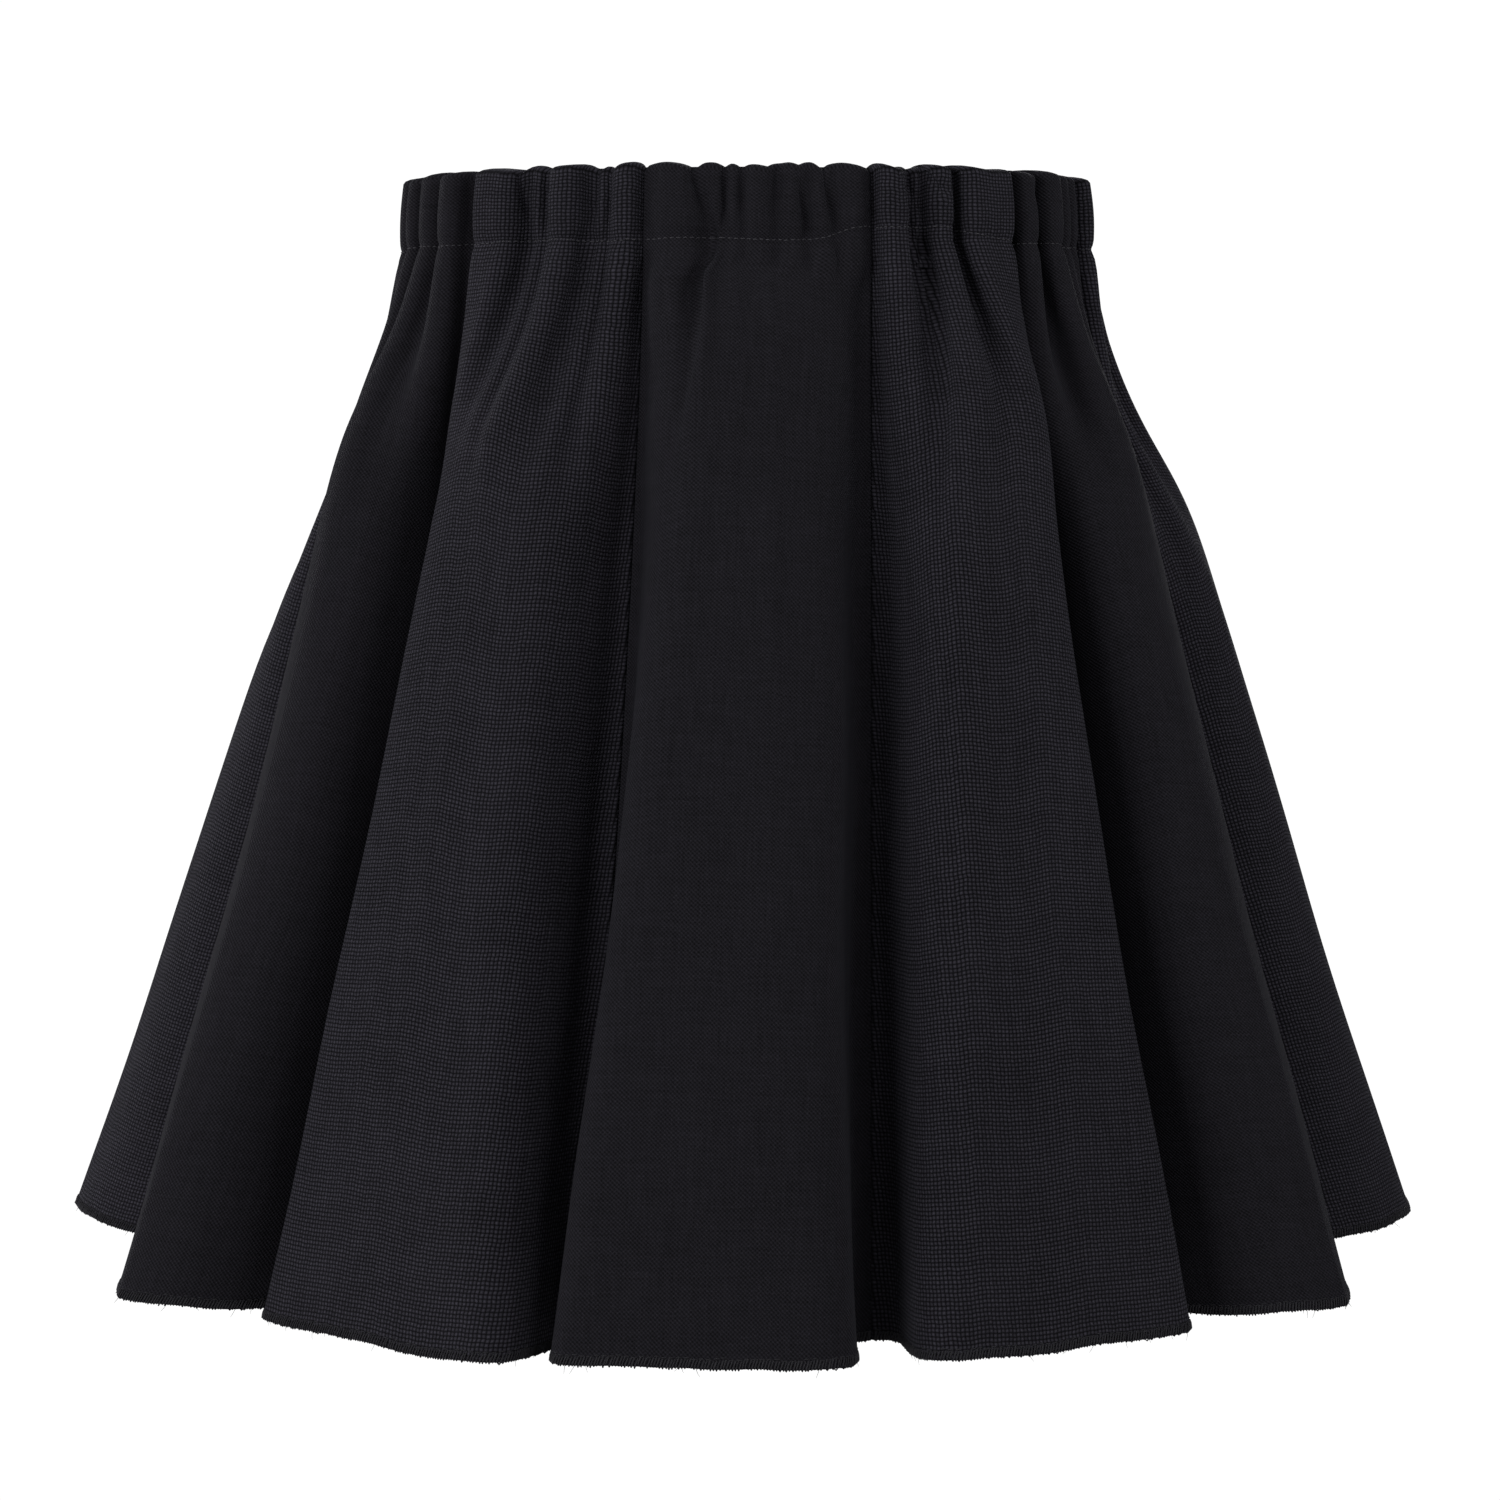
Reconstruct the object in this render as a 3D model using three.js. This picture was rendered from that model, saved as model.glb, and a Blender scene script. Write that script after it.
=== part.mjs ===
// A black flared skirt, standing open as it is when it is worn. It is cut in twelve tall gores of
// two cloths in turn, a coarse basket weave and a fine twill. The tops of the gores are folded
// inside and stitched down as a casing, which is gathered on a hidden band of elastic. Below the
// casing each gore swells into one broad flute, and the seams lie in the narrow valleys between.
import * as THREE from "three";
import { mergeVertices } from "three/addons/utils/BufferGeometryUtils.js";

// Sizes are in millimetres. The origin is the middle of the waist, half way up the elastic. +Z is
// up, the front of the skirt faces -Y, and angles go round from the front toward +X.
const CLOTH = 1.5;
const SEAM_GAP = 0.3;
const ELASTIC = { width: 25, thickness: 1, halfWidth: 122, halfDepth: 91, sides: 28 };
const CASING_TOP = 14.8;
const CASING_DEPTH = 28;
const FOLD_HEIGHT = 2.2;
const SKIRT_DROP = 400;
// The hem hangs at LEVEL_DROP below the stitching, and is trimmed most of the way to that level.
const LEVEL_DROP = 375;
const HEM_TRIM = 0.7;
const GORE_TOP = 90;
const GORE_HEM = 180;

// The seams run down a ring that widens from the waist to the hem. It opens slowly at first,
// because the flutes take up the cloth there: `ease` is the power of its spread.
const SEAM_RING = { waist: [125, 94], stitching: [126.5, 95.5], hem: [214, 190], ease: 1.35 };
// The turned-in cloth lies on a smaller ring, inside the elastic.
const TURN_IN_RING = [119.2, 88.2];

// One row for each seam: its place in degrees from the front, on the waist's ellipse and at the
// hem, and how far its valley is set in from the ring at the hem.
const SEAMS = [
  { waist: -17, hem: -17, inset: 0 },
  { waist: 21, hem: 14, inset: 0 },
  { waist: 48, hem: 45, inset: 4 },
  { waist: 73, hem: 75, inset: 16 },
  { waist: 104, hem: 105, inset: -14 },
  { waist: 134, hem: 135, inset: 0 },
  { waist: 165, hem: 165, inset: 4 },
  { waist: 196, hem: 195, inset: -3 },
  { waist: 222, hem: 225, inset: 2 },
  { waist: 248, hem: 255, inset: -14 },
  { waist: 276, hem: 285, inset: 16 },
  { waist: 308, hem: 311, inset: 2 },
];

// A flute's section, as parts of the way from its crest to the seam: where the crest ends near the
// waist, where the side wall is steepest and where the valley begins.
const FLUTE = { crest: 0, wall: 0.72, valley: 0.85 };

const COARSE = { color: 0x232228, roughness: 0.95, metalness: 0 };
const FINE = { color: 0x1c1b20, roughness: 0.88, metalness: 0 };

// One row for each gore, from the front centre round by the right. `lean` moves the crest of its
// flute off the middle, as a part of half the gore, and `broad` is where its crest ends at the hem,
// so that a high one is flat and a low one round. `swell` is how far below the stitching the flute
// has taken over from the gathers. The four gathers are given from left to right: `share` of the
// gore's cloth, `depth` against the other gathers, and `run`, how far down the gather fades out.
const GORES = [
  {
    name: "gore_front_center", cloth: FINE, lean: -0.12, broad: 0.35, swell: 165,
    gathers: [
      { share: 0.30, depth: 1.3, run: 145 },
      { share: 0.21, depth: 0.8, run: 80 },
      { share: 0.24, depth: 0.9, run: 70 },
      { share: 0.25, depth: 1.0, run: 95 },
    ],
  },
  {
    name: "gore_front_right", cloth: COARSE, lean: -0.03, broad: 0.3, swell: 165,
    gathers: [
      { share: 0.28, depth: 1.0, run: 125 },
      { share: 0.27, depth: 1.1, run: 120 },
      { share: 0.19, depth: 0.8, run: 80 },
      { share: 0.26, depth: 1.0, run: 105 },
    ],
  },
  {
    name: "gore_right_front", cloth: FINE, lean: -0.12, broad: -0.35, swell: 220,
    gathers: [
      { share: 0.24, depth: 1.0, run: 150 },
      { share: 0.27, depth: 1.1, run: 190 },
      { share: 0.22, depth: 0.9, run: 140 },
      { share: 0.27, depth: 1.0, run: 160 },
    ],
  },
  {
    name: "gore_right", cloth: COARSE, lean: -0.02, broad: -0.15, swell: 290,
    gathers: [
      { share: 0.26, depth: 1.1, run: 190 },
      { share: 0.23, depth: 0.9, run: 165 },
      { share: 0.27, depth: 1.0, run: 210 },
      { share: 0.24, depth: 1.0, run: 175 },
    ],
  },
  {
    name: "gore_right_back", cloth: FINE, lean: 0.03, broad: 0.1, swell: 165,
    gathers: [
      { share: 0.22, depth: 0.9, run: 105 },
      { share: 0.28, depth: 1.1, run: 130 },
      { share: 0.24, depth: 1.0, run: 110 },
      { share: 0.26, depth: 1.0, run: 95 },
    ],
  },
  {
    name: "gore_back_right", cloth: COARSE, lean: 0, broad: 0.25, swell: 165,
    gathers: [
      { share: 0.27, depth: 1.0, run: 120 },
      { share: 0.21, depth: 0.9, run: 85 },
      { share: 0.27, depth: 1.2, run: 130 },
      { share: 0.25, depth: 0.9, run: 100 },
    ],
  },
  {
    name: "gore_back_center", cloth: FINE, lean: -0.03, broad: 0.3, swell: 165,
    gathers: [
      { share: 0.25, depth: 1.0, run: 100 },
      { share: 0.28, depth: 1.2, run: 140 },
      { share: 0.22, depth: 0.8, run: 80 },
      { share: 0.25, depth: 1.0, run: 110 },
    ],
  },
  {
    name: "gore_back_left", cloth: COARSE, lean: 0.02, broad: 0.2, swell: 165,
    gathers: [
      { share: 0.23, depth: 0.9, run: 95 },
      { share: 0.27, depth: 1.1, run: 125 },
      { share: 0.26, depth: 1.0, run: 110 },
      { share: 0.24, depth: 1.0, run: 105 },
    ],
  },
  {
    name: "gore_left_back", cloth: FINE, lean: -0.02, broad: 0, swell: 165,
    gathers: [
      { share: 0.27, depth: 1.1, run: 125 },
      { share: 0.24, depth: 0.9, run: 100 },
      { share: 0.22, depth: 1.0, run: 110 },
      { share: 0.27, depth: 1.0, run: 130 },
    ],
  },
  {
    name: "gore_left", cloth: COARSE, lean: -0.04, broad: -0.2, swell: 330,
    gathers: [
      { share: 0.26, depth: 1.2, run: 230 },
      { share: 0.26, depth: 1.1, run: 240 },
      { share: 0.25, depth: 1.0, run: 230 },
      { share: 0.23, depth: 0.8, run: 210 },
    ],
  },
  {
    name: "gore_left_front", cloth: FINE, lean: 0.12, broad: -0.35, swell: 240,
    gathers: [
      { share: 0.25, depth: 0.9, run: 170 },
      { share: 0.28, depth: 1.2, run: 200 },
      { share: 0.21, depth: 0.9, run: 150 },
      { share: 0.26, depth: 1.0, run: 165 },
    ],
  },
  {
    name: "gore_front_left", cloth: COARSE, lean: -0.04, broad: 0.4, swell: 165,
    gathers: [
      { share: 0.30, depth: 1.1, run: 100 },
      { share: 0.18, depth: 0.9, run: 125 },
      { share: 0.24, depth: 1.2, run: 145 },
      { share: 0.28, depth: 0.9, run: 105 },
    ],
  },
];

// The gores are laid out in columns down the cloth, four to a gather, and in rows across it.
const COLUMNS_PER_GATHER = 4;
const SKIRT_ROWS = [400, 276, 184, 120, 72, 32];
const FOLD_ROWS = [0, 90, 180];
const ROW_STEP = 4;
const CURVE_STEPS = 160;
// No cloth turns further than this from its chord, in radians, and its steepness is fitted to within
// the second.
const STEEPEST = 2.4;
const FITTED_WITHIN = 1e-6;

const radians = THREE.MathUtils.degToRad;
const mix = THREE.MathUtils.lerp;

// How steeply a flute's section runs across the skirt, for s from -1 at one seam to 1 at the other:
// from 0 on its crest it rises over the shoulder to 1 on the side wall, and goes back to 0 in the
// valley. The crest is round near the waist and broad at the hem, and the shorter side is steeper.
function flute(s, { lean, broad }, below) {
  const side = Math.sign(s - lean);
  const u = Math.abs(s - lean) / (1 - side * lean);
  const crest = mix(FLUTE.crest, broad, below / SKIRT_DROP);
  const over = THREE.MathUtils.smoothstep(u, crest, FLUTE.wall);
  const back = THREE.MathUtils.smoothstep(u, FLUTE.valley, 1);
  return side * (1 + side * lean) * over * (1 - back);
}

// The same for the gathers: each is one small round wave, between 0 at both of its edges. It
// holds its depth just below the stitching and dies away at the end of its run.
function gather(part, gathers, below) {
  let start = 0;
  for (const { share, depth, run } of gathers) {
    if (part <= start + share) {
      const fade = Math.cos((Math.PI / 2) * settle(below / run));
      return -depth * fade * Math.sin(2 * Math.PI * (part - start) / share);
    }
    start += share;
  }
  return 0;
}

// Goes from 0 to 1 as x does, evenly at first and easing in to 1, and stays there.
function settle(x) {
  const u = THREE.MathUtils.clamp(x, 0, 1);
  return u + u ** 2 - u ** 3;
}

// The place of a seam on the ring `size`, at `turn` degrees from the front.
function onEllipse([halfWidth, halfDepth], turn) {
  const angle = radians(turn);
  return new THREE.Vector2(halfWidth * Math.sin(angle), -halfDepth * Math.cos(angle));
}

// A true direction of `turn` degrees on an ellipse, as the angle that onEllipse takes.
function ellipseAngle([halfWidth, halfDepth], turn) {
  const angle = radians(turn);
  const eccentric = Math.atan2(Math.sin(angle) / halfWidth, Math.cos(angle) / halfDepth);
  const turns = Math.round((turn - THREE.MathUtils.radToDeg(eccentric)) / 360);
  return THREE.MathUtils.radToDeg(eccentric) + 360 * turns;
}

// Where a seam is, `below` the stitching. Above it, in the casing, it goes straight up.
function seamPoint(seam, below) {
  const { waist, stitching, hem, ease } = SEAM_RING;
  if (below <= 0) {
    const up = -below / CASING_DEPTH;
    return onEllipse(stitching, seam.waist).lerp(onEllipse(waist, seam.waist), up);
  }
  const down = (below / SKIRT_DROP) ** ease;
  const end = onEllipse(hem, ellipseAngle(hem, seam.hem));
  end.setLength(end.length() - seam.inset);
  return onEllipse(stitching, seam.waist).lerp(end, down);
}

const turnBetween = (from, to) => Math.atan2(from.cross(to), from.dot(to));

// A section of one gore: the line of its cloth seen from above, from its left seam to its right.
// Its direction is the chord's, turned by half the corner at each seam, by the flute and by the
// gathers. The steepness of whichever is being fitted is found by halving, so that the cloth's
// width just spans the chord.
function section(gore, ends, width, below, inside = 1) {
  const [before, left, right, after] = ends;
  const chord = right.clone().sub(left);
  const leftTurn = turnBetween(left.clone().sub(before), chord) / 2;
  const rightTurn = turnBetween(chord, after.clone().sub(right)) / 2;
  const down = Math.max(below, 0);
  const fluted = Math.sin((Math.PI / 2) * settle(down / gore.swell));
  const trace = (steepness) => {
    const points = [new THREE.Vector2(0, 0)];
    for (let i = 0; i < CURVE_STEPS; i += 1) {
      const part = (i + 0.5) / CURVE_STEPS;
      const wave = fluted * flute(2 * part - 1, gore, down) + inside * gather(part, gore.gathers, down);
      const angle = mix(-leftTurn, rightTurn, part) + steepness * wave;
      const step = new THREE.Vector2(Math.cos(angle), Math.sin(angle));
      points.push(points[i].clone().addScaledVector(step, width / CURVE_STEPS));
    }
    return points;
  };
  let low = 0;
  let high = STEEPEST;
  while (high - low > FITTED_WITHIN) {
    const middle = (low + high) / 2;
    if (trace(middle).at(-1).length() > chord.length()) {
      low = middle;
    } else {
      high = middle;
    }
  }
  const line = trace(low);
  const heading = chord.angle() - line.at(-1).angle();
  const points = line.map((p) => p.rotateAround(new THREE.Vector2(), heading).add(left));
  const turned = (angle) => chord.clone().normalize().rotateAround(new THREE.Vector2(), angle);
  return { points, first: turned(-leftTurn), last: turned(rightTurn) };
}

// The point at `part` of a section's cloth, and the level direction that faces out of the skirt.
// At its two ends that is square to the line both neighbours share, so the seam stays even.
function across({ points, first, last }, part, width) {
  const margin = SEAM_GAP / 2 / width;
  const place = THREE.MathUtils.clamp(part, margin, 1 - margin) * CURVE_STEPS;
  const i = Math.min(Math.floor(place), CURVE_STEPS - 1);
  const point = points[i].clone().lerp(points[i + 1], place - i);
  const nearest = Math.round(place);
  let along = first;
  if (part >= 1) {
    along = last;
  } else if (part > 0) {
    along = points[nearest + 1].clone().sub(points[nearest - 1]).normalize();
  }
  return { point, out: new THREE.Vector2(along.y, -along.x) };
}

// The places of a gore's columns across its cloth. The outer two stop short of the seams.
function columnsOf(gathers) {
  const columns = [];
  let start = 0;
  for (const { share } of gathers) {
    for (let i = 0; i < COLUMNS_PER_GATHER; i += 1) {
      columns.push(start + share * i / COLUMNS_PER_GATHER);
    }
    start += share;
  }
  return [...columns, 1];
}

// The rows of a gore, from the hem up the outside, over the fold and down the turned-in cloth.
// Each holds the middle of the cloth and the direction out of its face. A column's height below
// the stitching is worked out so that every column has the same length of cloth.
function rowsOf(index) {
  const gore = GORES[index];
  const columns = columnsOf(gore.gathers);
  const stitching = CASING_TOP - CASING_DEPTH;
  const seams = [-1, 0, 1, 2].map((i) => {
    const seam = SEAMS[(index + i + SEAMS.length) % SEAMS.length];
    const round = 360 * Math.floor((index + i) / SEAMS.length);
    return { ...seam, waist: seam.waist + round, hem: seam.hem + round };
  });
  const cut = (below, inside = 1) => {
    const width = mix(GORE_TOP, GORE_HEM, Math.max(below, 0) / SKIRT_DROP);
    const ends = inside === 1
      ? seams.map((seam) => seamPoint(seam, below))
      : seams.map((seam) => onEllipse(TURN_IN_RING, seam.waist));
    const line = section(gore, ends, width, below, inside);
    return columns.map((part) => across(line, part, width));
  };

  const stitched = cut(0);
  const drops = columns.map(() => 0);
  const skirt = [];
  let last = stitched;
  for (let below = ROW_STEP; below <= SKIRT_DROP; below += ROW_STEP) {
    const row = cut(below);
    row.forEach(({ point }, i) => {
      const moved = point.distanceTo(last[i].point);
      drops[i] += Math.sqrt(ROW_STEP ** 2 - moved ** 2);
    });
    if (SKIRT_ROWS.includes(below)) {
      skirt.unshift(row.map((c, i) => ({ ...c, drop: drops[i], up: 0 })));
    }
    last = row;
  }
  for (const row of skirt) {
    row.forEach((c, i) => {
      const trim = mix(1, LEVEL_DROP / drops[i], HEM_TRIM);
      c.z = stitching - c.drop * trim;
    });
  }

  const level = (row, height) => row.map((c) => ({ ...c, z: height, up: 0 }));
  const outer = cut(-CASING_DEPTH);
  const inner = cut(-CASING_DEPTH, -1);
  const foldStart = CASING_TOP - CLOTH / 2 - FOLD_HEIGHT;
  const fold = FOLD_ROWS.map((turn) => outer.map((c, i) => {
    const over = radians(turn);
    const out = turn < 90 ? c.out : inner[i].out;
    return {
      point: c.point.clone().lerp(inner[i].point, (1 - Math.cos(over)) / 2),
      out: out.clone().multiplyScalar(Math.cos(over)),
      z: foldStart + FOLD_HEIGHT * Math.sin(over),
      up: Math.sin(over),
    };
  }));
  const turnedIn = inner.map((c) => ({ ...c, out: c.out.clone().negate() }));
  return [...skirt, level(stitched, stitching), ...fold, level(turnedIn, stitching)];
}

// A wall of cloth through the rows, half its thickness to each side of them, closed at its edges.
function clothWall(rows) {
  const count = rows[0].length;
  const positions = [];
  for (const side of [1, -1]) {
    for (const row of rows) {
      for (const { point, out, z, up } of row) {
        const offset = side * CLOTH / 2;
        positions.push(point.x + offset * out.x, point.y + offset * out.y, z + offset * up);
      }
    }
  }
  const indices = [];
  const quad = (a, b, c, d) => indices.push(a, b, c, a, c, d);
  const face = (row, column) => row * count + column;
  const back = (row, column) => (rows.length + row) * count + column;
  for (let r = 0; r < rows.length - 1; r += 1) {
    for (let c = 0; c < count - 1; c += 1) {
      quad(face(r, c), face(r, c + 1), face(r + 1, c + 1), face(r + 1, c));
      quad(back(r, c), back(r + 1, c), back(r + 1, c + 1), back(r, c + 1));
    }
    quad(back(r, 0), face(r, 0), face(r + 1, 0), back(r + 1, 0));
    quad(face(r, count - 1), back(r, count - 1), back(r + 1, count - 1), face(r + 1, count - 1));
  }
  const end = rows.length - 1;
  for (let c = 0; c < count - 1; c += 1) {
    quad(back(0, c), back(0, c + 1), face(0, c + 1), face(0, c));
    quad(face(end, c), face(end, c + 1), back(end, c + 1), back(end, c));
  }
  const geometry = new THREE.BufferGeometry();
  geometry.setAttribute("position", new THREE.Float32BufferAttribute(positions, 3));
  geometry.setIndex(indices);
  return geometry;
}

// The elastic: a flat band on edge, as a ring round the waist inside the casing.
function elasticRing() {
  const { width, thickness, halfWidth, halfDepth, sides } = ELASTIC;
  const half = thickness / 2;
  const round = 2 * Math.PI;
  const ring = new THREE.Shape();
  ring.absellipse(0, 0, halfWidth + half, halfDepth + half, 0, round);
  const hole = new THREE.Path();
  hole.absellipse(0, 0, halfWidth - half, halfDepth - half, 0, round, true);
  ring.holes.push(hole);
  const settings = { depth: width, bevelEnabled: false, curveSegments: sides };
  const geometry = new THREE.ExtrudeGeometry(ring, settings);
  geometry.deleteAttribute("normal");
  geometry.deleteAttribute("uv");
  return mergeVertices(geometry).translate(0, 0, -width / 2);
}

const skirt = new THREE.Group();

GORES.forEach((gore, index) => {
  const mesh = new THREE.Mesh(clothWall(rowsOf(index)), new THREE.MeshStandardMaterial(gore.cloth));
  mesh.name = gore.name;
  skirt.add(mesh);
});

const elastic = new THREE.Mesh(
  elasticRing(),
  new THREE.MeshStandardMaterial({ color: 0x18181a, roughness: 0.8, metalness: 0 }),
);
elastic.name = "waist_elastic";
skirt.add(elastic);

export default skirt;
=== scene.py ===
import math
import bpy
import numpy as np
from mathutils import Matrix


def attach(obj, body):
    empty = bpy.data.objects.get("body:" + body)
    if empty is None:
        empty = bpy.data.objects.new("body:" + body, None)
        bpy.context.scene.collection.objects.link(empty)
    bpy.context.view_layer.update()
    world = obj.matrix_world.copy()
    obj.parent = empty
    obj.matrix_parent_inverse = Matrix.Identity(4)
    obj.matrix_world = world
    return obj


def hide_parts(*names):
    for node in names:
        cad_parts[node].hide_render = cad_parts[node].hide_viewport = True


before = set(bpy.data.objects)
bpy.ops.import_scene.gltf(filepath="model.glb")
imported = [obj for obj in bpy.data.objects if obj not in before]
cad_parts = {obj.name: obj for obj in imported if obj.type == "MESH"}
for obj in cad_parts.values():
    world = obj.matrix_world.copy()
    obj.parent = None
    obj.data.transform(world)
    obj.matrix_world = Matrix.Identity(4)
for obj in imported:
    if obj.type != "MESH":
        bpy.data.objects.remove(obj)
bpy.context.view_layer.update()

# The twelve gores, as they are cut
# The skirt is twelve tall gores of two black cloths in turn, a coarse basket weave and a fine twill.
# Each is cut 90 mm wide at the waist and 180 mm at the hem, with 8 mm more for the seam at each side.
# Its top goes on for 28 mm as the casing, folds over the elastic and is stitched down inside.
CLOTH_THICKNESS = 1.2
GORE_TOP = 90
GORE_HEM = 180
SKIRT_DROP = 400
CASING_TOP = 14.8
CASING_DEPTH = 28
FOLD_LENGTH = 3.6
TURNED_IN = 37.0
SEAM_ALLOWANCE = 8
STITCHING = CASING_TOP - CASING_DEPTH

# Half the width and half the depth of the ovals that the seams lie on: at the top of the casing, at its
# stitching, at the hem, and the turned-in cloth's inside the elastic.
CASING_OVAL = (125, 94)
STITCHING_OVAL = (126.5, 95.5)
HEM_OVAL = (214, 190)
INSIDE_OVAL = (119.2, 88.2)

# Each seam between two gores: its place in degrees from the front, on the waist and at the hem, and
# how far its valley is set in at the hem, in mm. The seams go outward slowly at first, as the part of
# the drop to a power.
SEAM_WAIST = np.array([-17, 21, 48, 73, 104, 134, 165, 196, 222, 248, 276, 308])
SEAM_HEM = np.array([-17, 14, 45, 75, 105, 135, 165, 195, 225, 255, 285, 311])
SEAM_OPENING = 1.35
SEAM_INSET = np.array([0, 12, 4, 16, -14, 0, 4, -3, 2, -14, 16, 2])

# Each gore, from the front centre round by the right: its name, its cloth, how far the crest of its
# flute leans off the middle, how broad the crest is at the hem, and how far below the stitching the
# flute has taken over. Then come its gathers from left to right, each as where its left trough is,
# from 0 to 1 across the gore, how deep it is against the others, how far down it runs in mm, how far
# its trough drifts across the gore on the way down, and how far its swelling leans up the casing.
GORES = [
    ("front_center", "fine", -0.16, 0.42, 125, [
        (0, 0.7, 60, 0, 0), (0.295, 1.0, 100, -0.07, -0.09), (0.355, 0.6, 14, 0.01, -0.01),
        (0.43, 0.9, 17, 0.02, -0.02), (0.57, 0.9, 22, 0.02, -0.04), (0.71, 1.1, 20, 0.01, -0.04),
        (0.83, 0.9, 24, 0, -0.055)]),
    ("front_right", "coarse", 0.08, 0.42, 145, [
        (0, 0.9, 125, 0, 0), (0.265, 0.6, 50, 0.02, -0.13), (0.325, 0.9, 110, -0.05, -0.06),
        (0.56, 1.1, 110, -0.03, 0)]),
    ("right_front", "fine", -0.12, -0.35, 220, [
        (0, 0.9, 150, 0, 0), (0.30, 0.9, 130, 0.03, -0.12), (0.62, 0.8, 190, 0.04, 0.02),
        (0.83, 0.8, 160, 0, 0.02)]),
    ("right", "coarse", -0.02, -0.15, 290, [
        (0, 1.2, 190, 0, 0), (0.27, 0.7, 165, 0.02, 0.04), (0.41, 1.0, 150, 0, -0.03),
        (0.60, 0.7, 210, 0.03, 0), (0.76, 1.1, 175, 0, 0.03)]),
    ("right_back", "fine", 0.03, 0.1, 165, [
        (0, 0.8, 105, 0, 0), (0.16, 1.2, 130, 0.04, -0.04), (0.45, 0.6, 60, 0, 0.04),
        (0.52, 1.1, 110, -0.03, 0.05), (0.81, 0.8, 95, 0, -0.03)]),
    ("back_right", "coarse", 0, 0.25, 165, [
        (0, 1.1, 120, 0, 0), (0.31, 0.6, 70, -0.03, 0.01), (0.38, 1.2, 130, 0.05, -0.01),
        (0.66, 0.6, 60, 0, 0.03), (0.75, 0.9, 100, 0, -0.04)]),
    ("back_center", "fine", -0.03, 0.3, 165, [
        (0, 0.8, 50, 0, 0), (0.22, 0.6, 50, 0, -0.05), (0.29, 1.2, 140, -0.06, -0.02),
        (0.54, 0.7, 40, 0, 0.03), (0.62, 0.9, 40, 0, 0.06), (0.78, 1.1, 110, 0.02, -0.02)]),
    ("back_left", "coarse", 0.02, 0.2, 165, [
        (0, 1.0, 95, 0, 0), (0.19, 1.2, 125, 0.05, -0.04), (0.47, 0.5, 50, 0, 0.05),
        (0.54, 1.0, 110, -0.03, 0.03), (0.84, 0.8, 105, 0, -0.02)]),
    ("left_back", "fine", -0.02, 0, 165, [
        (0, 1.2, 125, 0, 0), (0.31, 0.7, 90, 0, 0.02), (0.39, 1.0, 70, 0.03, -0.01),
        (0.66, 0.6, 100, 0, 0.03), (0.75, 1.1, 130, 0, 0.01)]),
    ("left", "coarse", -0.04, -0.2, 330, [
        (0, 1.0, 230, 0, 0), (0.19, 1.2, 240, 0.03, -0.04), (0.48, 0.7, 150, 0, 0.03),
        (0.58, 1.0, 230, -0.03, 0.04), (0.83, 0.7, 210, 0, -0.03)]),
    ("left_front", "fine", 0.12, -0.35, 240, [
        (0, 0.8, 170, 0, 0), (0.22, 0.8, 150, 0, 0.04), (0.44, 0.6, 200, -0.06, -0.02),
        (0.70, 0.7, 130, 0, 0.05)]),
    ("front_left", "coarse", -0.14, 0.48, 150, [
        (0, 1.2, 100, 0, 0), (0.39, 0.6, 100, -0.08, -0.07), (0.46, 1.3, 120, -0.09, -0.02),
        (0.75, 0.6, 130, -0.18, 0.025), (0.825, 1.1, 140, -0.16, 0.005)]),
]


def ramp(x):
    """Goes from 0 to 1 as x does, evenly at first and easing in to 1, and stays there."""
    u = np.clip(x, 0, 1)
    return u + u**2 - u**3


def rise(x, low, high):
    """Goes from 0 at low to 1 at high, level at both ends."""
    u = np.clip((x - low) / (high - low), 0, 1)
    return u * u * (3 - 2 * u)


def on_oval(oval, angle):
    """Points on an oval round the skirt, at angles from the front: half its width times the angle's
    sine to the right, and half its depth times the cosine to the front."""
    return np.stack([oval[0] * np.sin(angle), -oval[1] * np.cos(angle)], -1)


def seam_line(k, below):
    """Where seam k is seen from above, at each level below the stitching: from its place on the
    waist it goes out to its place at the hem, as a power of the level's part of the drop."""
    turn = 2 * math.pi * (k // 12)
    waist = math.radians(SEAM_WAIST[k % 12]) + turn
    hem = math.radians(SEAM_HEM[k % 12]) + turn
    hem = np.unwrap([hem, math.atan2(math.sin(hem) / HEM_OVAL[0], math.cos(hem) / HEM_OVAL[1])])[1]
    casing = on_oval(CASING_OVAL, waist)
    start = on_oval(STITCHING_OVAL, waist)
    end = on_oval(HEM_OVAL, hem)
    end = end * (1 - SEAM_INSET[k % 12] / np.hypot(*end))
    down = (np.maximum(below, 0)[:, None] / SKIRT_DROP) ** SEAM_OPENING
    up = np.maximum(-below, 0)[:, None] / CASING_DEPTH
    return start + (end - start) * down + (casing - start) * up


def flute(part, lean, broad, below):
    """How steeply the flute's section runs, for part from 0 to 1 across the gore: 0 on its crest, 1
    on the side wall and 0 in the valley, the other way round on its right side."""
    s = 2 * part - 1 - lean
    side = np.sign(s)
    u = np.abs(s) / (1 - side * lean)
    crest = broad * below / SKIRT_DROP
    return side * (1 + side * lean) * rise(u, crest, 0.72) * (1 - rise(u, 0.85, 1))


def troughs(gathers, below):
    """Where each gather's two troughs are at each level, with how deep it is and where it ends."""
    up = np.clip(-below / CASING_DEPTH, 0, 1)
    line = [(row[0] + row[3] * rise(below, 0, row[2]) + row[4] * up)[:, None] for row in gathers]
    line.append(np.ones((len(below), 1)))
    return [(line[i], line[i + 1], row[1], row[2]) for i, row in enumerate(gathers)]


def near_trough(part, left, right):
    """How far across a gather each part is, from 0 to 1, and its way from the nearer trough to the
    gather's crown, which is level where the gather is broader than 0.3 of the gore."""
    x = (part - left) / (right - left)
    return x, np.clip(np.minimum(x, 1 - x) / np.minimum(0.5, 0.15 / (right - left)), 0, 1)


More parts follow.
